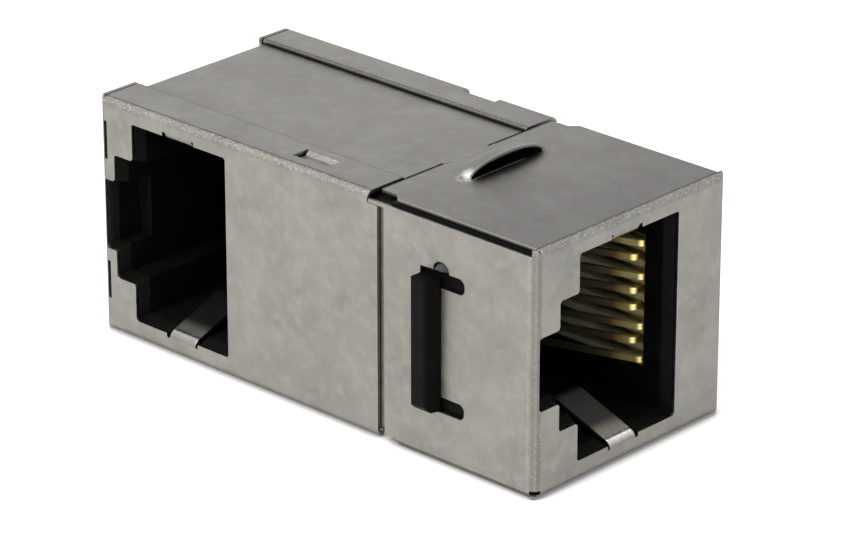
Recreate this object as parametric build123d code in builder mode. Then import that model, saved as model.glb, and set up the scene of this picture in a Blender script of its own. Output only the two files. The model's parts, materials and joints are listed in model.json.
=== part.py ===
from build123d import *
import os
from math import atan, degrees

# Right-angle shielded keystone jack. Millimetres, +Z up, front port facing -Y, side port facing -X.
# The origin is the bottom centre. A size named "start" or "depth" runs back from the front face.

# Overall size
length = 34.3
width = 15.8
height = 14.8

# Sheet metal
sheet = 0.22
bend = 0.5
fit = 0.06
seam_gap = 0.2
seam_inset = 0.35

# Front shield: its flaps and their stepped rear corners
shield_depth = 12.3
side_flap_depth = 11.35
corner_relief = 0.4
step_start = 10.5
step_in = 0.65
tab_height = 0.2

# Rear covers
cover_start = 11.9
lap_start = 12.65
lap_rise = 0.66
lap_edge = 0.1
near_lap = 3.0
far_lap = 2.65
lap_end_gap = 0.15

# Latches between the covers and the rear frame
latch_start = 16.75
latch_length = 2.7
latch_offset = 1.0
latch_width = 1.3
latch_slope = 0.3
latch_press = 0.27
latch_slit = 0.12
latch_margin = 0.2
far_window_offset = 0.85
far_window_depth = 0.45
snap_slot_width = 0.32
snap_slot_offset = 0.3
snap_slot_height = 2.4
snap_slot_spacing = 8.85
snap_slot_lift = 0.3

# Rear frame
frame_start = 11.15
ear_length = 2.3
ear_bottom = 0.5
frame_bend = 0.3
panel_start = 12.95
tongue_width = 3.65
tongue_offset = 0.4

# Louvre on the shield's top flap
louvre_from_left = 8.15
louvre_start = 9.6
louvre_width = 6.4
louvre_rise = 0.92
louvre_sink = 1.5

# Jack openings: each steps from the plug's body past its key to its latch, which ends near the shell
port_rise = 0.05
port_corner = 0.2
port_heights = (12.45, 7.8, 4.4)
key_step = 1.55
front_latch_step = 1.6
front_port_margin = 0.3
side_latch_step = 0.9
side_port_margin = 0.25
side_wall_from_rear = 10.45

# Earthing springs folded in from the top and bottom edges of both openings
spring_width = 2.1
spring_notch = 0.25
spring_root = 0.6
spring_reach = 4.1
spring_rise = 1.5
spring_tail = 1.1
spring_drop = 0.7
spring_bend = 0.55
spring_clearance = 0.25
front_spring_shift = 0.25

# Bracket-shaped slots in the side flaps, and the catches that stand out through them
slot_start = 5.3
slot_end = 8.6
slot_bar = 1.55
slot_height = 8.45
slot_arm = 0.95
slot_drop = 0.1
slot_tip = 0.4
knuckle_radius = 0.6
knuckle_proud = 0.25
knuckle_taper = 20
catch_length = 1.45
catch_proud = 0.9
catch_flat = 1.15
catch_chamfer = 0.1
catch_low_chamfer = 0.35
catch_head_drop = 0.4
catch_base_start = 4.7
catch_base_length = 5.9
catch_base_lap = 0.475
catch_base_thickness = 0.7

# Moulded housings
lip = 0.25
lip_depth = 0.65
rim_depth = 2.2
rim_chamfer = 0.3
shoulder_gap = 0.1
front_cavity_depth = 14.2
front_housing_depth = 17.4
latch_pocket_depth = 4.05
latch_ledge = 0.85
side_pocket_depth = 2.4
side_back_wall = 1.27
housing_joint = 0.05
latch_box_height = 5.4
latch_box_width = 3.0

# Contact springs and the carriers that comb them
contact_count = 8
contact_pitch = 1.016
contact_width = 0.36
contact_thickness = 0.3
contact_bend = 0.42
contact_length = 7.2
contact_lift = 2.4
contact_tip = 1.0
contact_stagger = 0.6
front_contact_start = 2.5
side_contact_start = 2.6
side_contact_gap = 1.5
run_back = 1.0
groove_clearance = 0.1
carrier_face = 0.45
carrier_back = 1.82
carrier_overhang = 0.45
carrier_length = 11.0
front_tail_starts = (11.3, 12.6)
tail_reach = 0.45

# Circuit board, and the insulating cap behind its solder tails
board_thickness = 1.0
board_start = 3.5
board_gap = 0.2
pin_hole_radius = 0.29
cap_start = 13.8
cap_thickness = 0.83
cap_floor = 0.4
cap_rim = 0.5

# Outer planes of the body
front_y = -length / 2
rear_y = length / 2
left_x = -width / 2
right_x = width / 2
mid_z = height / 2
port_z = mid_z + port_rise

# Levels of the nested sheets, from the outside in
step = sheet + fit
frame_bottom = step
frame_top = height - step
frame_half = width / 2 - step
frame_rear = rear_y - step
core_bottom = frame_bottom + step
core_top = frame_top - step
core_rear = frame_rear - step

# Places that several pieces share
board_back = right_x - step - cap_thickness - fit
board_x = board_back - board_thickness
front_wall_x = board_x - fit - carrier_back
front_reach = front_wall_x - left_x - front_port_margin
front_reaches = (front_reach - front_latch_step - key_step, front_reach - front_latch_step, front_reach)
side_wall_y = rear_y - side_wall_from_rear
side_reach = side_wall_from_rear - side_port_margin
side_reaches = (side_reach - side_latch_step - key_step, side_reach - side_latch_step, side_reach)
side_cavity_depth = board_x - fit - side_back_wall - left_x
port_bottom = port_z - port_heights[0] / 2
front_spring_x = front_wall_x - front_reaches[0] / 2 - front_spring_shift
side_spring_y = side_wall_y + side_reaches[0] / 2
tail_x = board_back + tail_reach
carrier_half = (contact_count - 1) * contact_pitch / 2 + contact_width / 2 + carrier_overhang
contact_levels = [port_z + (row - (contact_count - 1) / 2) * contact_pitch for row in range(contact_count)]
slot_z = port_z - slot_drop
slot_bar_y = front_y + slot_end - slot_bar
catch_base_height = slot_height + 2 * catch_base_lap


def across(y):
    """Plane across the body at y: local x is X, local y is Z, and it faces the front."""
    return Plane.XZ.offset(-y)


def along(x):
    """Plane along the body at x: local x is Y, local y is Z, and it faces the right."""
    return Plane.YZ.offset(x)


def level(z):
    """Horizontal plane at z."""
    return Plane.XY.offset(z)


def box_outline(low, high):
    """Rectangle between two corners, in the open sketch."""
    with Locations(((low[0] + high[0]) / 2, (low[1] + high[1]) / 2)):
        Rectangle(high[0] - low[0], high[1] - low[1])


def port_outline(wall, reaches, towards, inset=0.0, corner=0.0):
    """Three rectangles that step down from the plug's body to its latch, in the open sketch."""
    side = Align.MIN if towards > 0 else Align.MAX
    with Locations((wall + towards * inset, port_z)):
        for reach, tall in zip(reaches, port_heights):
            Rectangle(reach - 2 * inset, tall - 2 * inset, align=(side, Align.CENTER))
    if corner > 0:
        fillet(vertices(), corner)


def past_ledge(reaches):
    """The same steps, with the latch's step cut back to its ledge."""
    return (reaches[0], reaches[1], reaches[2] - latch_ledge)


def earthing_spring():
    """Spring that leaves a plate's edge at the origin, bends in along +Y, rises and falls again."""
    with BuildPart() as spring:
        with BuildSketch(Plane.YZ):
            with BuildLine():
                FilletPolyline(
                    (0, -spring_root),
                    (0, 0),
                    (spring_reach, spring_rise),
                    (spring_reach + spring_tail, spring_rise - spring_drop),
                    radius=spring_bend,
                )
            trace(line_width=sheet)
        extrude(amount=spring_width / 2, both=True)
    return spring.part


def louvre_form(inset):
    """Solid under the louvre's raised skin, inset from its outer surface."""
    with BuildPart() as form:
        with BuildSketch(across(front_y + louvre_start)):
            with Locations((left_x + louvre_from_left, height)):
                Ellipse(louvre_width / 2 - inset, louvre_rise - inset)
                Rectangle(louvre_width - 2 * inset, louvre_sink, align=(Align.CENTER, Align.MAX))
        revolve(axis=Axis((0, front_y + louvre_start, height - louvre_sink), (1, 0, 0)))
        with BuildSketch(level(height - sheet)):
            with Locations((left_x + louvre_from_left, front_y + louvre_start)):
                Rectangle(louvre_width, louvre_width, align=(Align.CENTER, Align.MIN))
        extrude(amount=louvre_width, mode=Mode.INTERSECT)
    return form.part


def folded_cover(lap):
    """Left-hand cover: side plate, top and bottom laps, and a rear flange that stands clear of them."""
    with BuildPart() as cover:
        with BuildSketch(across(front_y + cover_start)):
            box_outline((left_x, 0), (left_x + lap, height))
        extrude(amount=-(length - cover_start))
        plate_edges = cover.faces().sort_by(Axis.X)[0].edges()
        fillet(plate_edges.sort_by(Axis.Y)[1:], bend)
        front_end = cover.faces().sort_by(Axis.Y)[0]
        inner_side = cover.faces().sort_by(Axis.X)[-1]
        offset(amount=-sheet, openings=[front_end, inner_side])
        # Rolled inner edges of the laps
        lap_edges = cover.edges().filter_by(Axis.Y).group_by(Axis.X)[-1]
        chamfer([lap_edges.sort_by(Axis.Z)[0], lap_edges.sort_by(Axis.Z)[-1]], lap_edge)
        # Gap between the laps and the rear flange
        with BuildSketch(along(left_x + sheet)):
            with Locations((rear_y - sheet, 0), (rear_y - sheet, height)):
                Rectangle(lap_end_gap, 4 * sheet, align=(Align.MAX, Align.CENTER))
        extrude(amount=lap, mode=Mode.SUBTRACT)
        # The laps start behind the side plate, and the top one with its bend
        with BuildSketch(along(left_x)):
            with Locations((front_y + cover_start, height)):
                Rectangle(2 * (lap_start - cover_start), 2 * lap_rise)
        extrude(amount=lap, mode=Mode.SUBTRACT)
        with BuildSketch(along(left_x + bend)):
            with Locations((front_y + cover_start, 0)):
                Rectangle(2 * (lap_start - cover_start), 2 * bend)
        extrude(amount=lap, mode=Mode.SUBTRACT)
    return cover.part


def latch_bridge():
    """Bridge pressed down out of the cover's top lap, between two slits."""
    near = left_x + latch_offset
    far = near + latch_width
    middle = height - sheet / 2
    with BuildPart() as bridge:
        with BuildSketch(across(front_y + latch_start + latch_slit)):
            with BuildLine():
                Polyline(
                    (near - latch_slit, middle),
                    (near, middle),
                    (near + latch_slope, middle - latch_press),
                    (far - latch_slope, middle - latch_press),
                    (far, middle),
                    (far + latch_slit, middle),
                )
            trace(line_width=sheet)
        extrude(amount=-(latch_length - 2 * latch_slit))
    return bridge.part


def frame_envelope():
    """Block as large as the rear frame, rounded like the side bends of the covers around it."""
    with BuildPart() as envelope:
        with BuildSketch(across(front_y + frame_start)):
            box_outline((-frame_half, frame_bottom), (frame_half, frame_top))
        extrude(amount=-(frame_rear - front_y - frame_start))
        fillet(envelope.faces().sort_by(Axis.X)[0].edges().sort_by(Axis.Y)[1:], bend)
        fillet(envelope.faces().sort_by(Axis.X)[-1].edges().sort_by(Axis.Y)[1:], bend)
    return envelope.part


def catch_form(thickness):
    """Left-hand keystone catch: a base behind the flap, and a ramp and a round knuckle through its slot."""
    base_x = left_x + step
    head_low = slot_z - slot_height / 2 + fit
    head_high = slot_z + slot_height / 2 - catch_head_drop
    head_start = slot_bar_y + fit
    head_end = head_start + catch_length
    with BuildPart() as catch:
        with BuildSketch(level(head_low)):
            with BuildLine():
                Polyline(
                    (base_x, head_start),
                    (left_x, head_start),
                    (left_x - catch_proud, head_end - catch_flat),
                    (left_x - catch_proud, head_end),
                    (base_x, head_end),
                    close=True,
                )
            make_face()
        extrude(amount=head_high - head_low)
        outer_edges = catch.faces().filter_by(Axis.X).sort_by(Axis.X)[0].edges().sort_by(Axis.Z)
        chamfer(outer_edges[1:], catch_chamfer)
        outer_face = catch.faces().filter_by(Axis.X).sort_by(Axis.X)[0]
        chamfer(outer_face.edges().sort_by(Axis.Z)[0], catch_low_chamfer)
        with BuildSketch(along(base_x)):
            low = (front_y + catch_base_start, slot_z - catch_base_height / 2)
            high = (low[0] + catch_base_length, slot_z + catch_base_height / 2)
            box_outline(low, high)
        extrude(amount=thickness)
        with BuildSketch(along(base_x)):
            with Locations((slot_bar_y, slot_z + slot_height / 2)):
                Circle(knuckle_radius - fit)
                Rectangle(
                    2 * knuckle_radius,
                    knuckle_radius,
                    align=(Align.CENTER, Align.MAX),
                    mode=Mode.SUBTRACT,
                )
        extrude(amount=-(step + knuckle_proud), taper=knuckle_taper)
    return catch.part


def contact_spring(route, z):
    """Flat wire bent along a route in the horizontal plane at z."""
    with BuildPart() as spring:
        with BuildSketch(level(z)):
            with BuildLine():
                FilletPolyline(*route, radius=contact_bend)
            trace(line_width=contact_thickness)
        extrude(amount=contact_width / 2, both=True)
    return spring.part


def contact_setback(row):
    """Rows 1, 3, 6 and 8 reach furthest forward, and the others stand back."""
    return 0.0 if row in (0, 2, 5, 7) else contact_stagger


# Front shield: one sheet with the front face and four flaps folded back
with BuildPart() as front_shield:
    with BuildSketch(across(front_y)):
        box_outline((left_x, 0), (right_x, height))
    extrude(amount=-shield_depth)
    fillet(front_shield.faces().sort_by(Axis.Y)[0].edges(), bend)
    offset(amount=-sheet, openings=front_shield.faces().sort_by(Axis.Y)[-1])
    # The side flaps end before the top and bottom ones
    with BuildSketch(across(front_y + side_flap_depth)):
        box_outline((left_x, sheet), (right_x, height - sheet))
    extrude(amount=-shield_depth, mode=Mode.SUBTRACT)
    # Tabs at the side flaps' upper rear corners, which close the groove before the covers
    with BuildSketch(across(front_y + side_flap_depth)):
        tab_middle = height - sheet - seam_gap - tab_height / 2
        with Locations((left_x + sheet / 2, tab_middle), (right_x - sheet / 2, tab_middle)):
            Rectangle(sheet, tab_height)
    extrude(amount=-(lap_start - seam_gap / 2 - side_flap_depth))
    # Open seams along the four corners
    with BuildSketch(across(front_y + corner_relief)):
        with Locations((left_x, height), (right_x, height)):
            Rectangle(2 * seam_inset, 2 * (sheet + seam_gap))
        with Locations((left_x, 0), (right_x, 0)):
            Rectangle(2 * sheet, 2 * (sheet + fit))
    extrude(amount=-shield_depth, mode=Mode.SUBTRACT)
    # Stepped rear corners of the top and bottom flaps
    with BuildSketch(level(0), level(height)):
        with BuildLine():
            Polyline(
                (right_x + sheet, front_y + step_start),
                (right_x - sheet, front_y + step_start),
                (right_x - sheet - step_in, front_y + step_start + step_in),
                (right_x - sheet - step_in, front_y + shield_depth),
                (right_x + sheet, front_y + shield_depth),
                close=True,
            )
        make_face()
        mirror(about=Plane.YZ)
    extrude(amount=sheet + seam_gap, both=True, mode=Mode.SUBTRACT)
    # Louvre: a raised hood, open towards the front
    add(louvre_form(0))
    add(louvre_form(sheet), mode=Mode.SUBTRACT)
    # Bracket-shaped slots, each round a tongue, with a round relief above
    with BuildSketch(along(left_x)):
        box_outline(
            (front_y + slot_start, slot_z - slot_height / 2),
            (front_y + slot_end, slot_z + slot_height / 2),
        )
        with Locations((slot_bar_y, slot_z)):
            Rectangle(
                slot_end - slot_start,
                slot_height - 2 * slot_arm,
                align=(Align.MAX, Align.CENTER),
                mode=Mode.SUBTRACT,
            )
        fillet(vertices().group_by(Axis.X)[0], slot_tip)
        with Locations((slot_bar_y, slot_z + slot_height / 2)):
            Circle(knuckle_radius)
    extrude(amount=width, mode=Mode.SUBTRACT)
    # Front opening, its relief notches and its earthing springs
    with BuildSketch(across(front_y)):
        port_outline(front_wall_x, front_reaches, -1, corner=port_corner)
        with Locations((front_spring_x, port_z)):
            Rectangle(spring_width + 2 * spring_notch, port_heights[0] + 2 * spring_notch)
    extrude(amount=-bend, mode=Mode.SUBTRACT)
    front_spring = earthing_spring().located(Location((front_spring_x, front_y + sheet / 2, port_bottom)))
    add(front_spring)
    mirror(front_spring, about=level(port_z))
front_shield.part.label = "front_shield"

# Side port cover: the left cover with the side opening, its springs and the pressed latches
with BuildPart() as side_port_cover:
    add(folded_cover(near_lap))
    with BuildSketch(along(left_x)):
        port_outline(side_wall_y, side_reaches, 1, corner=port_corner)
        with Locations((side_spring_y, port_z)):
            Rectangle(spring_width + 2 * spring_notch, port_heights[0] + 2 * spring_notch)
    extrude(amount=bend, mode=Mode.SUBTRACT)
    side_spring = earthing_spring().located(
        Location((left_x + sheet / 2, side_spring_y, port_bottom), (0, 0, -90))
    )
    add(side_spring)
    mirror(side_spring, about=level(port_z))
    # Snap slots in the rear bend
    with BuildSketch(along(left_x)):
        with Locations((rear_y - snap_slot_offset, mid_z + snap_slot_lift)):
            with GridLocations(1, snap_slot_spacing, 1, 2):
                Rectangle(snap_slot_width, snap_slot_height, align=(Align.MAX, Align.CENTER))
    extrude(amount=bend, mode=Mode.SUBTRACT)
    # Pressed latches in the top and bottom laps
    with BuildSketch(level(0), level(height)):
        box_outline(
            (left_x + latch_offset, front_y + latch_start),
            (left_x + latch_offset + latch_width, front_y + latch_start + latch_length),
        )
    extrude(amount=sheet, both=True, mode=Mode.SUBTRACT)
    lap_latch = latch_bridge()
    add(lap_latch)
    mirror(lap_latch, about=level(mid_z))
side_port_cover.part.label = "side_port_cover"

# Right cover: the same fold on the other side, with latch windows at its bends
with BuildPart() as right_cover:
    mirror(folded_cover(far_lap), about=Plane.YZ)
    with BuildSketch(across(front_y + latch_start)):
        with Locations((right_x, 0), (right_x, height)):
            Rectangle(2 * far_window_offset, 2 * far_window_depth)
    extrude(amount=-latch_length, mode=Mode.SUBTRACT)
right_cover.part.label = "right_cover"

# Rear frame: one strip over the top, down the rear and under the bottom, with an ear at each side
with BuildPart() as rear_frame:
    with BuildSketch(Plane.YZ):
        with BuildLine():
            FilletPolyline(
                (front_y + panel_start, frame_top - sheet / 2),
                (frame_rear - sheet / 2, frame_top - sheet / 2),
                (frame_rear - sheet / 2, frame_bottom + sheet / 2),
                (front_y + panel_start, frame_bottom + sheet / 2),
                radius=frame_bend - sheet / 2,
            )
        trace(line_width=sheet)
    extrude(amount=frame_half, both=True)
    with BuildSketch(across(front_y + panel_start)):
        with BuildLine():
            FilletPolyline(
                (-frame_half + sheet / 2, ear_bottom),
                (-frame_half + sheet / 2, frame_top - sheet / 2),
                (frame_half - sheet / 2, frame_top - sheet / 2),
                (frame_half - sheet / 2, ear_bottom),
                radius=bend - sheet / 2,
            )
        trace(line_width=sheet)
    extrude(amount=-(frame_start + ear_length - panel_start))
    # The ears reach forward of the panels, below the tabs of the shield
    with BuildSketch(across(front_y + frame_start)):
        with Locations((-frame_half + sheet / 2, ear_bottom), (frame_half - sheet / 2, ear_bottom)):
            Rectangle(sheet, frame_top - bend - ear_bottom, align=(Align.CENTER, Align.MIN))
    extrude(amount=-ear_length)
    # Tongues under the top and bottom flaps
    with BuildSketch(across(front_y + frame_start)):
        with Locations((tongue_offset, frame_bottom + sheet / 2), (tongue_offset, frame_top - sheet / 2)):
            Rectangle(tongue_width, sheet)
    extrude(amount=-(panel_start - frame_start))
    # Long and rear edges rounded to lie inside the covers' bends
    add(frame_envelope(), mode=Mode.INTERSECT)
    # Windows for the pressed latches
    with BuildSketch(level(0)):
        box_outline(
            (left_x + latch_offset - latch_margin, front_y + latch_start - latch_margin),
            (
                left_x + latch_offset + latch_width + latch_margin,
                front_y + latch_start + latch_length + latch_margin,
            ),
        )
    extrude(amount=height, mode=Mode.SUBTRACT)
    # Notch in the rear panel for the side jack's latch box
    with BuildSketch(along(-frame_half)):
        with Locations((rear_y, port_z)):
            Rectangle(2 * bend + 2 * step, latch_box_height + 2 * fit)
    extrude(amount=latch_box_width + fit, mode=Mode.SUBTRACT)
rear_frame.part.label = "rear_frame"

# Front housing: a full rim behind the front face, a body beside the board and a smaller rear block
with BuildPart() as front_housing:
    with BuildSketch(across(front_y + step)):
        box_outline((left_x + step, step), (right_x - step, height - step))
    extrude(amount=-rim_depth)
    chamfer(front_housing.faces().sort_by(Axis.Y)[0].edges(), rim_chamfer)
    with BuildSketch(across(front_y + rim_depth)):
        box_outline((left_x + step, step), (board_x - fit, height - step))
    extrude(amount=-(frame_start - shoulder_gap - rim_depth))
    with BuildSketch(across(front_y + rim_depth)):
        box_outline((left_x + 2 * step, core_bottom), (board_x - fit, core_top))
        chamfer(vertices().group_by(Axis.X)[0], bend - sheet)
    extrude(amount=-(front_housing_depth - rim_depth))
    # Cavity with its lead-in, latch pocket and ledge
    with BuildSketch(across(front_y + step)):
        port_outline(front_wall_x, front_reaches, -1)
    extrude(amount=-lip_depth, taper=degrees(atan(lip / lip_depth)), mode=Mode.SUBTRACT)
    with BuildSketch(across(front_y + step)):
        port_outline(front_wall_x, front_reaches, -1, lip)
    extrude(amount=-latch_pocket_depth, mode=Mode.SUBTRACT)
    with BuildSketch(across(front_y + step)):
        port_outline(front_wall_x, past_ledge(front_reaches), -1, lip)
    extrude(amount=-front_cavity_depth, mode=Mode.SUBTRACT)
    # Channels behind the earthing springs
    with BuildSketch(across(front_y + step)):
        with Locations((front_spring_x, port_z)):
            Rectangle(spring_width + 2 * spring_clearance, port_heights[0] + 2 * spring_clearance)
    extrude(amount=-(spring_reach + spring_tail + spring_clearance), mode=Mode.SUBTRACT)
    # Window for the contact carrier
    with BuildSketch(across(front_y + rim_depth)):
        box_outline(
            (front_wall_x - lip, port_z - carrier_half - fit),
            (board_x, port_z + carrier_half + fit),
        )
    extrude(amount=-(carrier_length + fit), mode=Mode.SUBTRACT)
    # Pocket for the left catch's base
    with BuildSketch(along(left_x)):
        box_outline(
            (front_y + catch_base_start - fit, slot_z - catch_base_height / 2 - fit),
            (front_y + catch_base_start + catch_base_length + fit, slot_z + catch_base_height / 2 + fit),
        )
    extrude(amount=step + catch_base_thickness + fit, mode=Mode.SUBTRACT)
front_housing.part.label = "front_housing"

# Side housing: a block that fills the covers, with the side jack's cavity and a latch box at the rear
side_housing_start = front_y + front_housing_depth + housing_joint
with BuildPart() as side_housing:
    with BuildSketch(level(core_bottom)):
        box_outline((left_x + step, side_housing_start), (board_x - fit, core_rear))
    extrude(amount=core_top - core_bottom)
    with BuildSketch(across(core_rear)):
        box_outline(
            (left_x + step, port_z - latch_box_height / 2),
            (left_x + step + latch_box_width, port_z + latch_box_height / 2),
        )
    extrude(amount=-(frame_rear - core_rear))
    fillet(side_housing.edges().filter_by(Axis.X).group_by(Axis.Z)[0].sort_by(Axis.Y)[-1], bend - sheet)
    fillet(side_housing.edges().filter_by(Axis.X).group_by(Axis.Z)[-1].sort_by(Axis.Y)[-1], bend - sheet)
    left_face = side_housing.faces().filter_by(Axis.X).sort_by(Axis.X)[0]
    fillet(left_face.edges().filter_by(Axis.Z).sort_by(Axis.Y)[-1], bend - sheet)
    with BuildSketch(along(left_x + step)):
        port_outline(side_wall_y, side_reaches, 1)
    extrude(amount=lip_depth, taper=degrees(atan(lip / lip_depth)), mode=Mode.SUBTRACT)
    with BuildSketch(along(left_x + step)):
        port_outline(side_wall_y, side_reaches, 1, lip)
    extrude(amount=side_pocket_depth, mode=Mode.SUBTRACT)
    with BuildSketch(along(left_x + step)):
        port_outline(side_wall_y, past_ledge(side_reaches), 1, lip)
    extrude(amount=side_cavity_depth - step, mode=Mode.SUBTRACT)
    with BuildSketch(along(left_x + step)):
        with Locations((side_spring_y, port_z)):
            Rectangle(spring_width + 2 * spring_clearance, port_heights[0] + 2 * spring_clearance)
    extrude(amount=spring_reach + spring_tail + spring_clearance, mode=Mode.SUBTRACT)
    with BuildSketch(along(left_x + rim_depth)):
        box_outline(
            (side_wall_y - carrier_back - fit, port_z - carrier_half - fit),
            (side_wall_y + lip, port_z + carrier_half + fit),
        )
    extrude(amount=board_x - left_x - rim_depth, mode=Mode.SUBTRACT)
side_housing.part.label = "side_housing"

# Catches that hold the jack in a keystone opening
with BuildPart() as left_catch:
    add(catch_form(catch_base_thickness))
left_catch.part.label = "left_catch"
with BuildPart() as right_catch:
    mirror(catch_form(cap_thickness), about=Plane.YZ)
right_catch.part.label = "right_catch"

# Contact springs: a tail through the board, a run in the carrier, a turn at the front and a sloping blade
contacts = []
side_contact_length = side_cavity_depth - side_contact_start - contact_tip - side_contact_gap
run_x = front_wall_x + run_back
run_y = side_wall_y - run_back
for row, contact_z in enumerate(contact_levels):
    turn_y = front_y + front_contact_start + contact_setback(row)
    tail_y = front_y + front_tail_starts[row % 2]
    front_route = [
        (tail_x, tail_y),
        (run_x, tail_y),
        (run_x, turn_y),
        (front_wall_x, turn_y),
        (front_wall_x - contact_lift, turn_y + contact_length),
        (front_wall_x - contact_lift, turn_y + contact_length + contact_tip),
    ]
    turn_x = left_x + side_contact_start + contact_setback(row)
    side_route = [
        (tail_x, run_y),
        (turn_x, run_y),
        (turn_x, side_wall_y),
        (turn_x + side_contact_length, side_wall_y + contact_lift),
        (turn_x + side_contact_length + contact_tip, side_wall_y + contact_lift),
    ]
    for place, route in (("front", front_route), ("side", side_route)):
        spring = contact_spring(route, contact_z)
        spring.label = f"{place}_contact_{row + 1}"
        contacts.append(spring)

# Front contact carrier: a comb on the board with one groove for each spring
groove = contact_width + 2 * groove_clearance
groove_depth = run_back - carrier_face + contact_thickness / 2 + groove_clearance
tail_slot = contact_thickness + 2 * groove_clearance
with BuildPart() as front_contact_carrier:
    with BuildSketch(across(front_y + rim_depth + fit)):
        box_outline(
            (front_wall_x + carrier_face, port_z - carrier_half),
            (front_wall_x + carrier_back, port_z + carrier_half),
        )
    extrude(amount=-(carrier_length - fit))
    with BuildSketch(across(front_y + rim_depth)):
        with Locations([(front_wall_x + carrier_face, z) for z in contact_levels]):
            Rectangle(groove_depth, groove, align=(Align.MIN, Align.CENTER))
    extrude(amount=-carrier_length, mode=Mode.SUBTRACT)
    with BuildSketch(along(front_wall_x + carrier_face)):
        with Locations([(front_y + front_tail_starts[row % 2], z) for row, z in enumerate(contact_levels)]):
            Rectangle(tail_slot, groove)
    extrude(amount=carrier_back, mode=Mode.SUBTRACT)
front_contact_carrier.part.label = "front_contact_carrier"

# Side contact carrier: the same comb, whose grooves run straight through to the board
with BuildPart() as side_contact_carrier:
    with BuildSketch(along(left_x + rim_depth + fit)):
        box_outline(
            (side_wall_y - carrier_back, port_z - carrier_half),
            (side_wall_y - carrier_face, port_z + carrier_half),
        )
    extrude(amount=board_x - fit - (left_x + rim_depth + fit))
    with BuildSketch(along(left_x + rim_depth)):
        with Locations([(side_wall_y - carrier_face, z) for z in contact_levels]):
            Rectangle(groove_depth, groove, align=(Align.MAX, Align.CENTER))
    extrude(amount=board_x - left_x, mode=Mode.SUBTRACT)
side_contact_carrier.part.label = "side_contact_carrier"

# Circuit board on edge along the right side, drilled for both rows of tails
with BuildPart() as circuit_board:
    with BuildSketch(along(board_x)):
        box_outline(
            (front_y + board_start, core_bottom + board_gap),
            (core_rear - board_gap, core_top - board_gap),
        )
        front_tails = [(front_y + front_tail_starts[row % 2], z) for row, z in enumerate(contact_levels)]
        side_tails = [(run_y, z) for z in contact_levels]
        with Locations(front_tails + side_tails):
            Circle(pin_hole_radius, mode=Mode.SUBTRACT)
    extrude(amount=board_thickness)
circuit_board.part.label = "circuit_board"

# Insulating cap: a shallow tray over the solder tails
with BuildPart() as insulating_cap:
    with BuildSketch(along(board_back + fit)):
        box_outline((front_y + cap_start, core_bottom), (core_rear, core_top))
    extrude(amount=cap_thickness)
    fillet(insulating_cap.edges().filter_by(Axis.X).group_by(Axis.Y)[-1], bend - sheet)
    with BuildSketch(along(board_back + fit)):
        box_outline(
            (front_y + cap_start + cap_rim, core_bottom + cap_rim),
            (core_rear - cap_rim, core_top - cap_rim),
        )
    extrude(amount=cap_thickness - cap_floor, mode=Mode.SUBTRACT)
insulating_cap.part.label = "insulating_cap"

pieces = [
    front_shield.part,
    side_port_cover.part,
    right_cover.part,
    rear_frame.part,
    front_housing.part,
    side_housing.part,
    left_catch.part,
    right_catch.part,
    front_contact_carrier.part,
    side_contact_carrier.part,
    circuit_board.part,
    insulating_cap.part,
] + contacts
os.makedirs("parts", exist_ok=True)
for piece in pieces:
    export_step(piece, f"parts/{piece.label}.step")
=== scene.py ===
import bpy
import json
import math
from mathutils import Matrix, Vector

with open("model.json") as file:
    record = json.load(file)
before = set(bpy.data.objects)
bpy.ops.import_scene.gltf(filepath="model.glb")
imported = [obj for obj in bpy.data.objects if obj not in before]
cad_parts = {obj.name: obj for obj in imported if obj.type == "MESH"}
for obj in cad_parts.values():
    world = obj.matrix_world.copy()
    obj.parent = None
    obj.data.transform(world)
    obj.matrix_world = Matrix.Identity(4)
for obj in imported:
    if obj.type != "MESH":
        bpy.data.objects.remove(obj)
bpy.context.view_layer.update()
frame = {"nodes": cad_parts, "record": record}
scene = bpy.context.scene
nodes = frame["nodes"]

# Places on the body that the sheet metal's finish follows, in millimetres
HALF_WIDTH = 7.9
HALF_LENGTH = 17.15
HEIGHT = 14.8
SHELL_END = -4.6
TOP_FLAP_END = -4.85
SIDE_FLAP_END = -4.8
BOTTOM_SEAM_END = -6.2
NEAR_LAP_EDGE = -4.9
FAR_LAP_EDGE = 5.25
FRONT_ROOTS_END = -15.5
SIDE_PORT_MIDDLE = 10.5
SIDE_PORT_REACH = 5.3
TONGUE_MIDDLE = 0.4
TONGUE_REACH = 1.8
LOUVRE_MOUTH = -7.55
LOUVRE_MIDDLE = 0.25
LOUVRE_REACH = 3.0
LOUVRE_END_INSET = 0.3
BEND_HEIGHT = 0.3
BEND_FOOT = 0.4
BEND_REACH = 0.45
KNUCKLE_BASE = 11.58

# Colours of the sheet metal, with the shade, glints and highlights painted on it
GREY = (0.196, 0.195, 0.185)
LIGHT_GREY = (0.272, 0.268, 0.250)
WARM_GREY = (0.310, 0.302, 0.262)
ROSY_GREY = (0.240, 0.214, 0.206)
GRAIN_GREY = (0.31, 0.303, 0.28)
ROLLED_GREY = (0.18, 0.177, 0.165)
TOP_SHADE = (0.0, 0.0, 0.004)
FRONT_SHADE = (0.0, 0.0, 0.0)
GLINT = (0.66, 0.65, 0.61)
BEND_SHADE = (0.10, 0.098, 0.09)
RIM_SHADE = (0.04, 0.04, 0.038)
EDGE_HIGHLIGHT = (0.50, 0.495, 0.47)
FAINT_HIGHLIGHT = (0.6, 0.59, 0.55)
NOTCH_SHADE = (0.004, 0.004, 0.004)
LAP_SHADE = (0.03, 0.03, 0.028)
FAR_LAP_SHADE = (0.05, 0.05, 0.047)
CUT_SHADE = (0.02, 0.02, 0.019)
MOUTH_REFLECTION = (0.02, 0.02, 0.02)
LOUVRE_LIP_HIGHLIGHT = (0.95, 0.94, 0.9)
LOUVRE_RIM_HIGHLIGHT = (0.6, 0.59, 0.57)
END_HIGHLIGHT = (0.93, 0.93, 0.92)
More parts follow.
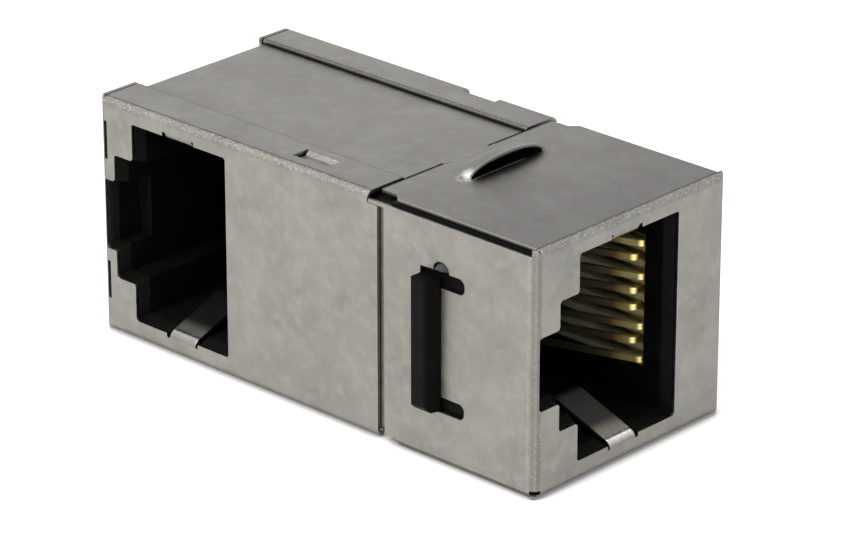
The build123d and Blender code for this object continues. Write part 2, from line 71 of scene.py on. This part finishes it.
ROOT_HIGHLIGHT_DIM = (0.66, 0.65, 0.62)
ROOT_HIGHLIGHT = (0.97, 0.96, 0.93)
SIDE_ROOT_SHADE = (0.3, 0.297, 0.285)
FRONT_INNER_SHADE = (0.14, 0.144, 0.156)
SIDE_INNER_SHADE = (0.012, 0.0125, 0.014)

# Colours of the plastics, the contacts and the board, with highlight and shade painted on the knuckle
# and the contacts
HOUSING_BLACK = (0.003, 0.003, 0.0031)
CATCH_BLACK = (0.0022, 0.0022, 0.0018)
KNUCKLE_HIGHLIGHT = (0.085, 0.085, 0.09)
COMB_OLIVE = (0.5, 0.48, 0.33)
DEEP_GOLD = (1.0, 0.76, 0.25)
PALE_GOLD = (1.0, 0.86, 0.40)
AMBER_SHADE = (0.42, 0.25, 0.08)
WIRE_SHADE = (0.21, 0.197, 0.13)
MASK_GREEN = (0.018, 0.085, 0.03)
WEAVE_GREEN = (0.035, 0.13, 0.05)

# Rounding of edges and relief of the finishes, in metres
SHEET_ROUNDING = 0.00009
MOULD_ROUNDING = 0.0001
WAVE_HEIGHT = 0.00006
DENT_HEIGHT = 0.00004
GRAIN_HEIGHT = 0.00002
WIRE_HEIGHT = 0.00001
WEAVE_HEIGHT = 0.00003

# Floor, fill light and camera. Lengths are in metres
FLOOR_DARK = (0.80, 0.80, 0.80)
FLOOR_LIGHT = (0.83, 0.83, 0.83)
FLOOR_SHADOW = (0.45, 0.45, 0.47)
FLOOR_REACH = 1.5
FLOOR_DROP = 0.00002
SHADOW_REACH = 0.0009
FILL_STRENGTH = 0.55
CAMERA_PLACE = (-0.17053, -0.16157, 0.10738)
NEAR_CLIP = 0.01

# Camera's lens and sensor, in millimetres, and its direction
CAMERA_LENS = 187.5
SENSOR_WIDTH = 36.0
CAMERA_AZIMUTH = math.radians(46.818)
CAMERA_ELEVATION = math.radians(23.262)


class Shader:
    """Small helpers for shader trees. Lengths in the textures are in millimetres."""

    def __init__(self, name, world=False):
        if world:
            self.block = bpy.data.worlds.new(name)
        else:
            self.block = bpy.data.materials.new(name)
        self.block.use_nodes = True
        self.tree = self.block.node_tree
        self.tree.nodes.clear()

    def node(self, kind, **values):
        made = self.tree.nodes.new("ShaderNode" + kind)
        for key, value in values.items():
            setattr(made, key, value)
        return made

    def put(self, socket, value):
        if isinstance(value, bpy.types.NodeSocket):
            self.tree.links.new(value, socket)
        else:
            socket.default_value = value

    def math(self, operation, first, second=0.0):
        made = self.node("Math", operation=operation)
        self.put(made.inputs[0], first)
        self.put(made.inputs[1], second)
        return made.outputs[0]

    def magnitude(self, value):
        return self.math("ABSOLUTE", value)

    def above(self, value, limit):
        return self.math("GREATER_THAN", value, limit)

    def below(self, value, limit):
        return self.math("LESS_THAN", value, limit)

    def spread(self, value, low, high, to_low=0.0, to_high=1.0, smooth=False):
        """Straight or smooth way from one output to another, between two inputs."""
        made = self.node("MapRange", interpolation_type="SMOOTHSTEP" if smooth else "LINEAR")
        for index, number in enumerate((value, low, high, to_low, to_high)):
            self.put(made.inputs[index], number)
        return made.outputs[0]

    def near(self, value, centre, full, none):
        """1 within one distance of the centre, falling to 0 at another."""
        distance = self.magnitude(self.math("SUBTRACT", value, centre))
        return self.spread(distance, full, none, to_low=1.0, to_high=0.0)

    def all_of(self, *masks):
        result = masks[0]
        for mask in masks[1:]:
            result = self.math("MULTIPLY", result, mask)
        return result

    def mix(self, factor, first, second):
        made = self.node("Mix", data_type="RGBA", blend_type="MIX")
        self.put(made.inputs[0], factor)
        for index, value in ((6, first), (7, second)):
            if isinstance(value, tuple):
                value = (*value, 1.0)
            self.put(made.inputs[index], value)
        return made.outputs[2]

    def paint(self, tone, colour, strength, *masks):
        """Lay a colour over a tone, at a strength, where all the masks are 1."""
        return self.mix(self.all_of(*masks, strength), tone, colour)

    def axes(self, vector):
        split = self.node("SeparateXYZ")
        self.put(split.inputs[0], vector)
        return split.outputs

    def place(self, stretch=(1.0, 1.0, 1.0)):
        coordinates = self.node("TexCoord")
        mapping = self.node("Mapping")
        self.put(mapping.inputs["Vector"], coordinates.outputs["Object"])
        mapping.inputs["Scale"].default_value = [1000.0 * s for s in stretch]
        return mapping.outputs[0]

    def noise(self, vector, scale, detail=3.0, roughness=0.5, offset=0.0):
        made = self.node("TexNoise", noise_dimensions="4D")
        self.put(made.inputs["Vector"], vector)
        made.inputs["W"].default_value = offset
        made.inputs["Scale"].default_value = scale
        made.inputs["Detail"].default_value = detail
        made.inputs["Roughness"].default_value = roughness
        return made.outputs[0]

    def rounded(self, radius, samples):
        made = self.node("Bevel", samples=samples)
        made.inputs["Radius"].default_value = radius
        return made.outputs[0]

    def bump(self, height, strength, distance, normal=None):
        made = self.node("Bump")
        made.inputs["Distance"].default_value = distance
        self.put(made.inputs["Strength"], strength)
        self.put(made.inputs["Height"], height)
        if normal is not None:
            self.put(made.inputs["Normal"], normal)
        return made.outputs[0]

    def seen(self):
        """1 for what the camera sees, directly, in a reflection or through glass."""
        path = self.node("LightPath")
        direct = self.math("MAXIMUM", path.outputs["Is Camera Ray"], path.outputs["Is Glossy Ray"])
        return self.math("MAXIMUM", direct, path.outputs["Is Transmission Ray"])

    def surface(self, **values):
        shader = self.node("BsdfPrincipled")
        for key, value in values.items():
            if isinstance(value, tuple) and len(value) == 3:
                value = (*value, 1.0)
            self.put(shader.inputs[key.replace("_", " ")], value)
        output = self.node("OutputMaterial")
        self.tree.links.new(shader.outputs[0], output.inputs["Surface"])
        return self.block


class PlatedSheet(Shader):
    """Nickel-plated sheet: cloudy satin faces and grainy bends, with painted glints, shade, shadow
    lines and highlights on the edges, louvre and springs.
    """

    def __init__(self):
        super().__init__("plated_sheet")
        self.where = self.place()
        self.x, self.y, self.z = self.axes(self.where)
        self.true_normal = self.node("NewGeometry").outputs["True Normal"]
        self.facing = self.axes(self.true_normal)
        self.edge_normal = self.rounded(SHEET_ROUNDING, samples=6)
        self.draw_textures()
        self.find_bends()
        self.find_springs()
        self.top = self.spread(self.facing[2], 0.9, 0.99)
        self.front = self.spread(self.facing[1], -0.9, -0.99)
        self.flat_top = self.all_of(self.near(self.z, HEIGHT, full=0.02, none=0.03), self.top)

    def draw_textures(self):
        self.clouds = self.noise(self.where, scale=0.33, detail=4.0, roughness=0.55)
        self.patches = self.noise(self.where, scale=1.3, detail=5.0, roughness=0.6, offset=3.0)
        self.blush = self.noise(self.where, scale=0.8, offset=15.0)
        self.grain = self.noise(self.where, scale=9.0, roughness=0.6, offset=7.0)
        along_part = self.place(stretch=(1.0, 0.12, 1.0))
        self.rolled = self.noise(along_part, scale=6.0, roughness=0.6, offset=11.0)
        specks = self.noise(self.where, scale=10.0, detail=2.0, roughness=0.7, offset=21.0)
        self.glints = self.spread(specks, 0.54, 0.66)
        self.dents = self.noise(self.where, scale=7.0, roughness=0.7, offset=31.0)

    def find_bends(self):
        fourths = [self.math("POWER", self.facing[axis], 4.0) for axis in range(3)]
        flatness = self.math("ADD", self.math("ADD", fourths[0], fourths[1]), fourths[2])
        self.bend = self.spread(flatness, 0.995, 0.9)
        near_top = self.near(self.z, HEIGHT - BEND_HEIGHT, full=0.31, none=0.33)
        self.upper_bend = self.all_of(self.bend, self.spread(self.facing[2], 0.15, 0.4), near_top)
        level = self.spread(self.magnitude(self.facing[2]), 0.1, 0.02)
        self.upright_bend = self.math("MULTIPLY", self.bend, level)

    def find_springs(self):
        """Only the earthing springs lie deep inside the shell, so depth picks them out."""
        sides = self.math("SUBTRACT", HALF_WIDTH, self.magnitude(self.x))
        ends = self.math("SUBTRACT", HALF_LENGTH, self.magnitude(self.y))
        from_centre = self.magnitude(self.math("SUBTRACT", self.z, HEIGHT / 2))
        levels = self.math("SUBTRACT", HEIGHT / 2, from_centre)
        self.depth = self.math("MINIMUM", self.math("MINIMUM", sides, ends), levels)
        self.behind = self.above(self.y, SHELL_END)
        inward = self.math("ADD", self.depth, self.math("MULTIPLY", self.behind, 0.3))
        self.inner = self.spread(inward, 0.95, 1.9, smooth=True)
        beside_side_port = self.near(
            self.y, SIDE_PORT_MIDDLE, full=SIDE_PORT_REACH, none=SIDE_PORT_REACH + 0.1
        )
        beside_ports = self.math("MAXIMUM", self.below(self.y, FRONT_ROOTS_END), beside_side_port)
        off_bends = self.all_of(
            self.spread(levels, 0.6, 0.7),
            self.spread(self.math("MAXIMUM", sides, ends), 0.6, 0.7),
        )
        outer = self.math("SUBTRACT", 1.0, self.inner)
        self.root = self.all_of(self.spread(self.depth, 0.05, 0.3), outer, off_bends, beside_ports)

    def faces(self):
        """Clouds, patches and rolling marks, with painted shade on the top towards the front port and
        on the front face.
        """
        tone = self.mix(self.spread(self.clouds, 0.34, 0.66), GREY, LIGHT_GREY)
        tone = self.mix(self.spread(self.patches, 0.45, 0.70, to_high=0.9), tone, WARM_GREY)
        tone = self.mix(self.spread(self.blush, 0.48, 0.68, to_high=0.85), tone, ROSY_GREY)
        tone = self.mix(self.spread(self.grain, 0.35, 0.75, to_high=0.35), tone, GRAIN_GREY)
        tone = self.mix(self.spread(self.rolled, 0.55, 0.8, to_high=0.25), tone, ROLLED_GREY)
        towards_front = self.spread(self.y, -HALF_LENGTH, 0.0, to_low=0.37, to_high=0.02)
        tone = self.mix(self.math("MULTIPLY", self.top, towards_front), tone, TOP_SHADE)
        return self.paint(tone, FRONT_SHADE, 0.08, self.front)

    def bends(self, tone):
        # Painted glints on the bends, and painted shade in the middle of the upright bends
        tone = self.paint(tone, GLINT, 0.75, self.glints, self.upper_bend)
        turned = self.magnitude(self.math("MULTIPLY", self.facing[0], self.facing[1]))
        middle = self.spread(turned, 0.15, 0.45)
        tone = self.paint(tone, BEND_SHADE, 0.3, self.upright_bend, middle)
        tone = self.paint(tone, GLINT, 0.3, self.glints, self.upright_bend)
        # Fine painted shade line where an upper bend starts
        start = self.near(self.z, HEIGHT - 0.02, full=0.01, none=0.018)
        tone = self.paint(tone, RIM_SHADE, 0.55, start, self.spread(self.facing[2], 0.999, 0.99))
        # Painted highlight along the edges, where the rounded normal leaves the true one
        meeting = self.node("VectorMath", operation="DOT_PRODUCT")
        self.put(meeting.inputs[0], self.edge_normal)
        self.put(meeting.inputs[1], self.true_normal)
        edge = self.spread(meeting.outputs["Value"], 0.985, 0.8)
        return self.paint(tone, EDGE_HIGHLIGHT, 0.5, edge)

    def front_left_bend(self, tone):
        """Faint painted highlight lines to both sides of the bend, and a painted dark mark for the
        shade in the relief notch at its foot.
        """
        on_front = self.near(self.x, 0.13 - HALF_WIDTH, full=0.02, none=0.09)
        tone = self.paint(tone, FAINT_HIGHLIGHT, 0.16, on_front, self.below(self.y, 0.6 - HALF_LENGTH))
        on_side = self.near(self.y, 0.62 - HALF_LENGTH, full=0.02, none=0.09)
        tone = self.paint(tone, FAINT_HIGHLIGHT, 0.1, on_side, self.below(self.x, 0.1 - HALF_WIDTH))
        in_width = self.below(self.x, BEND_REACH - HALF_WIDTH)
        in_length = self.below(self.y, BEND_REACH - HALF_LENGTH)
        at_foot = self.near(self.z, BEND_FOOT, full=0.09, none=0.13)
        return self.paint(tone, NOTCH_SHADE, 1.0, in_width, in_length, at_foot)

    def seams(self, tone):
        """Shadow lines at the laps' rolled edges and along the flaps' cut edges."""
        raised = self.above(self.z, HEIGHT - BEND_HEIGHT)
        upward = self.above(self.facing[2], 0.3)
        near_lap = self.near(self.x, NEAR_LAP_EDGE - 0.11, full=0.03, none=0.08)
        tone = self.paint(tone, LAP_SHADE, 0.6, near_lap, raised, upward, self.behind)
        far_lap = self.near(self.x, FAR_LAP_EDGE, full=0.08, none=0.3)
        tone = self.paint(tone, FAR_LAP_SHADE, 0.55, far_lap, raised, self.behind)
        under_flap = self.all_of(
            self.near(self.x, 0.35 - HALF_WIDTH, full=0.04, none=0.05),
            self.near(self.z, HEIGHT - 0.17, full=0.06, none=0.1),
        )
        tone = self.paint(tone, CUT_SHADE, 0.85, under_flap, self.below(self.y, SIDE_FLAP_END))
        over_bottom = self.all_of(
            self.near(self.z, 0.26, full=0.05, none=0.09),
            self.below(self.x, 0.2 - HALF_WIDTH),
        )
        tone = self.paint(tone, CUT_SHADE, 0.8, over_bottom, self.below(self.y, BOTTOM_SEAM_END))
        # Painted shadow line along the top flap's rear edge, to both sides of the tongue
        from_tongue = self.magnitude(self.math("SUBTRACT", self.x, TONGUE_MIDDLE))
        beside_tongue = self.spread(from_tongue, TONGUE_REACH, TONGUE_REACH + 0.1)
        rear_edge = self.near(self.y, TOP_FLAP_END - 0.04, full=0.03, none=0.07)
        return self.paint(tone, LAP_SHADE, 0.75, rear_edge, self.flat_top, beside_tongue)

    def louvre(self, tone):
        """Painted dark reflection of the mouth on the metal before it, and painted highlights on the
        cut edge, the rim and the formed end.
        """
        from_middle = self.math("SUBTRACT", self.x, LOUVRE_MIDDLE)
        # Painted dark reflection of the mouth
        before_mouth = self.all_of(
            self.spread(self.y, LOUVRE_MOUTH - 1.1, LOUVRE_MOUTH - 0.1, smooth=True),
            self.below(self.y, LOUVRE_MOUTH),
            self.near(from_middle, 0.1, full=2.2, none=3.2),
        )
        tone = self.paint(tone, MOUTH_REFLECTION, 0.8, before_mouth, self.flat_top)
        # Painted highlights on the cut edge and the rim
        lip = self.all_of(
            self.near(self.y, LOUVRE_MOUTH - 0.05, full=0.03, none=0.07),
            self.near(from_middle, -0.8, full=2.0, none=2.3),
        )
        tone = self.paint(tone, LOUVRE_LIP_HIGHLIGHT, 1.0, lip, self.flat_top)
        rim = self.all_of(
            self.near(self.y, LOUVRE_MOUTH, full=0.03, none=0.05),
            self.spread(self.z, HEIGHT, HEIGHT + 0.05),
        )
        tone = self.paint(tone, LOUVRE_RIM_HIGHLIGHT, 0.7, rim, self.front)
        # Painted highlight at the louvre's end
        end = self.node("VectorMath", operation="DISTANCE")
        self.put(end.inputs[0], self.where)
        end.inputs[1].default_value = (
            LOUVRE_MIDDLE - LOUVRE_REACH,
            LOUVRE_MOUTH + LOUVRE_END_INSET,
            HEIGHT,
        )
        end_highlight = self.spread(end.outputs["Value"], 0.75, 0.3, smooth=True)
        return self.paint(tone, END_HIGHLIGHT, 0.9, end_highlight, self.spread(self.patches, 0.35, 0.55))

    def springs(self, tone):
        """Painted highlight at the root and painted shade further in, both darker behind the side port.
        """
        # Painted highlight on the springs' roots, weaker behind the side port
        root_highlight = self.mix(self.spread(self.rolled, 0.35, 0.6), ROOT_HIGHLIGHT_DIM, ROOT_HIGHLIGHT)
        root_highlight = self.paint(root_highlight, SIDE_ROOT_SHADE, 0.7, self.behind)
        tone = self.paint(tone, root_highlight, 0.95, self.root)
        # Painted shade on the springs further in
        inner_shade = self.mix(self.behind, FRONT_INNER_SHADE, SIDE_INNER_SHADE)
        return self.paint(tone, inner_shade, 0.94, self.inner)

    def roughness(self):
        rough = self.spread(self.patches, 0.3, 0.7, to_low=0.33, to_high=0.43)
        coarse = self.math("MAXIMUM", self.bend, self.inner)
        rough = self.math("ADD", rough, self.math("MULTIPLY", coarse, 0.12))
        rough = self.math("ADD", rough, self.math("MULTIPLY", self.upright_bend, 0.15))
        gloss = self.spread(self.depth, 0.3, 0.55, to_low=0.7, to_high=0.2)
        shine = self.math("MULTIPLY", self.root, gloss)
        return self.math("MULTIPLY", rough, self.math("SUBTRACT", 1.0, shine))

    def relief(self):
        """Long waves and fine grain everywhere, and small dents on the bends."""
        wave = self.bump(self.clouds, 0.25, WAVE_HEIGHT, self.edge_normal)
        fine = self.bump(self.grain, 0.10, GRAIN_HEIGHT, wave)
        beaten = self.math("MULTIPLY", self.math("MAXIMUM", self.upper_bend, self.upright_bend), 0.6)
        return self.bump(self.dents, beaten, DENT_HEIGHT, fine)

    def finish(self):
        tone = self.bends(self.faces())
        tone = self.seams(self.front_left_bend(tone))
        tone = self.springs(self.louvre(tone))
        return self.surface(
            Base_Color=tone, Metallic=1.0, Roughness=self.roughness(), Normal=self.relief()
        )


def moulded(name, colour, rough, specular, grain_scale, highlight_above=None):
    """Moulded plastic: fine grain, faint flow clouds and rounded edges, with a painted highlight on the
    knuckle.
    """
    s = Shader(name)
    where = s.place()
    clouds = s.noise(where, scale=0.5, offset=2.0)
    grain = s.noise(where, scale=grain_scale, detail=2.0, roughness=0.6, offset=5.0)
    pale = tuple(min(1.0, c * 1.6 + 0.001) for c in colour)
    tone = s.mix(s.spread(clouds, 0.35, 0.7), colour, pale)
    # Painted highlight on the knuckle's dome
    if highlight_above is not None:
        height = s.axes(where)[2]
        tone = s.mix(s.spread(height, highlight_above, highlight_above + 0.05), tone, KNUCKLE_HIGHLIGHT)
    normal = s.bump(grain, 0.25, GRAIN_HEIGHT, s.rounded(MOULD_ROUNDING, samples=4))
    wear = s.spread(grain, 0.3, 0.7, rough - 0.06, rough + 0.06)
    return s.surface(Base_Color=tone, Roughness=wear, Specular_IOR_Level=specular, Normal=normal)


def gold(name, axis, lit_end, shade_end):
    """Spring wire plated with gold, with painted shade running through amber to a dark tone further
    into the port.
    """
    s = Shader(name)
    where = s.place()
    lines = s.noise(s.place(stretch=(0.04, 0.04, 1.0)), scale=9.0, detail=2.0, offset=1.0)
    tint = s.noise(where, scale=1.1, offset=9.0)
    plated_tone = s.mix(s.spread(tint, 0.35, 0.7), DEEP_GOLD, PALE_GOLD)
    # Painted shade that deepens along the wire, away from its lit mating bend
    inward_shade = s.spread(s.axes(where)[axis], lit_end, shade_end, smooth=True)
    amber_shaded = s.mix(s.spread(inward_shade, 0.2, 0.65), plated_tone, AMBER_SHADE)
    tone = s.mix(s.spread(inward_shade, 0.5, 1.0), amber_shaded, WIRE_SHADE)
    drawn = s.spread(lines, 0.3, 0.7, to_high=0.08)
    rough = s.math("ADD", drawn, s.spread(inward_shade, 0.0, 0.6, to_low=0.37, to_high=0.4))
    relief = s.bump(lines, 0.06, WIRE_HEIGHT)
    return s.surface(Base_Color=tone, Metallic=1.0, Roughness=rough, Normal=relief)


def laminate():
    """Solder mask over glass cloth, whose weave shows faintly."""
    s = Shader("board_laminate")
    warp = s.node("TexWave", wave_type="BANDS", bands_direction="Y")
    weft = s.node("TexWave", wave_type="BANDS", bands_direction="Z")
    where = s.place()
    for wave in (warp, weft):
        s.put(wave.inputs["Vector"], where)
        wave.inputs["Scale"].default_value = 1.6
        wave.inputs["Distortion"].default_value = 0.6
    weave = s.math("MULTIPLY", warp.outputs[1], weft.outputs[1])
    tone = s.mix(weave, MASK_GREEN, WEAVE_GREEN)
    relief = s.bump(weave, 0.1, WEAVE_HEIGHT)
    return s.surface(Base_Color=tone, Roughness=0.35, Normal=relief)


finishes = {
    "shield_metal": PlatedSheet().finish(),
    "housing_plastic": moulded("housing_plastic", HOUSING_BLACK, 0.5, 0.09, grain_scale=16.0),
    "catch_plastic": moulded("catch_plastic", CATCH_BLACK, 0.5, 0.06, 12.0, highlight_above=KNUCKLE_BASE),
    "carrier_plastic": moulded("carrier_plastic", COMB_OLIVE, 0.45, 0.3, grain_scale=10.0),
    "board_laminate": laminate(),
}
front_contact = gold("front_contact_plate", axis=1, lit_end=-14.3, shade_end=-11.9)
side_contact = gold("side_contact_plate", axis=0, lit_end=-5.0, shade_end=-2.6)
for entry in frame["record"]["subparts"]:
    mesh = nodes[entry["node"]].data
    mesh.materials.clear()
    if entry["material_slot"] == "contact_metal":
        mesh.materials.append(front_contact if entry["node"].startswith("front") else side_contact)
    else:
        mesh.materials.append(finishes[entry["material_slot"]])


# Floor: white to the eye; it keeps the object's shadow, and ambient occlusion adds a painted contact
# shadow along the object's foot
def floor_paint():
    s = Shader("floor_paint")
    grain = s.noise(s.place(), scale=0.2, detail=2.0)
    # Painted contact shadow from ambient occlusion, in both the colour and the glow
    contact_shade = s.node("AmbientOcclusion", samples=12)
    contact_shade.inputs["Distance"].default_value = SHADOW_REACH
    clear = s.spread(contact_shade.outputs["AO"], 0.4, 0.85)
    tone = s.mix(grain, FLOOR_DARK, FLOOR_LIGHT)
    tone = s.mix(clear, FLOOR_SHADOW, tone)
    shaded = s.node("BsdfDiffuse")
    s.put(shaded.inputs["Color"], tone)
    glow = s.node("Emission")
    glow.inputs["Color"].default_value = (1.0, 1.0, 1.0, 1.0)
    lift = s.spread(clear, 0.0, 1.0, to_low=0.15, to_high=0.62)
    s.put(glow.inputs["Strength"], s.math("MULTIPLY", s.seen(), lift))
    total = s.node("AddShader")
    s.put(total.inputs[0], shaded.outputs[0])
    s.put(total.inputs[1], glow.outputs[0])
    output = s.node("OutputMaterial")
    s.put(output.inputs["Surface"], total.outputs[0])
    return s.block


floor_mesh = bpy.data.meshes.new("floor")
floor_mesh.from_pydata(
    [
        (-FLOOR_REACH, -FLOOR_REACH, 0.0),
        (FLOOR_REACH, -FLOOR_REACH, 0.0),
        (FLOOR_REACH, FLOOR_REACH, 0.0),
        (-FLOOR_REACH, FLOOR_REACH, 0.0),
    ],
    [],
    [(0, 1, 2, 3)],
)
floor = bpy.data.objects.new("floor", floor_mesh)
floor.location.z = -FLOOR_DROP
scene.collection.objects.link(floor)
floor_mesh.materials.append(floor_paint())

# World: white behind the object and in its reflections, and a plain fill for the rest
studio = Shader("studio", world=True)
background = studio.node("Background")
background.inputs["Color"].default_value = (1.0, 1.0, 1.0, 1.0)
strength = studio.spread(studio.seen(), 0.0, 1.0, to_low=FILL_STRENGTH, to_high=1.0)
studio.put(background.inputs["Strength"], strength)
studio.put(studio.node("OutputWorld").inputs["Surface"], background.outputs[0])
scene.world = studio.block


def lamp(name, place, size, power, target, colour):
    data = bpy.data.lights.new(name, "AREA")
    data.shape = "RECTANGLE"
    data.size, data.size_y = size
    data.energy = power
    data.color = colour
    made = bpy.data.objects.new(name, data)
    made.location = place
    aim = Vector(target) - Vector(place)
    made.rotation_euler = aim.to_track_quat("-Z", "Y").to_euler()
    scene.collection.objects.link(made)


lamp(
    "key",
    place=(-0.28, 0.02, 0.34),
    size=(0.22, 0.22),
    power=1.4,
    target=(-0.05, 0.02, 0.0),
    colour=(1.0, 0.965, 0.88),
)
lamp(
    "front_fill",
    place=(0.10, -0.36, 0.26),
    size=(0.25, 0.2),
    power=0.09,
    target=(0.03, -0.06, 0.0),
    colour=(1.0, 0.97, 0.90),
)

# Camera at the photograph's angle
look = Vector((
    math.sin(CAMERA_AZIMUTH) * math.cos(CAMERA_ELEVATION),
    math.cos(CAMERA_AZIMUTH) * math.cos(CAMERA_ELEVATION),
    -math.sin(CAMERA_ELEVATION),
))
camera_data = bpy.data.cameras.new("camera")
camera_data.sensor_width = SENSOR_WIDTH
camera_data.lens = CAMERA_LENS
camera_data.clip_start = NEAR_CLIP
camera = bpy.data.objects.new("camera", camera_data)
camera.location = CAMERA_PLACE
camera.rotation_euler = look.to_track_quat("-Z", "Y").to_euler()
scene.collection.objects.link(camera)
scene.camera = camera
scene.view_settings.view_transform = "Standard"
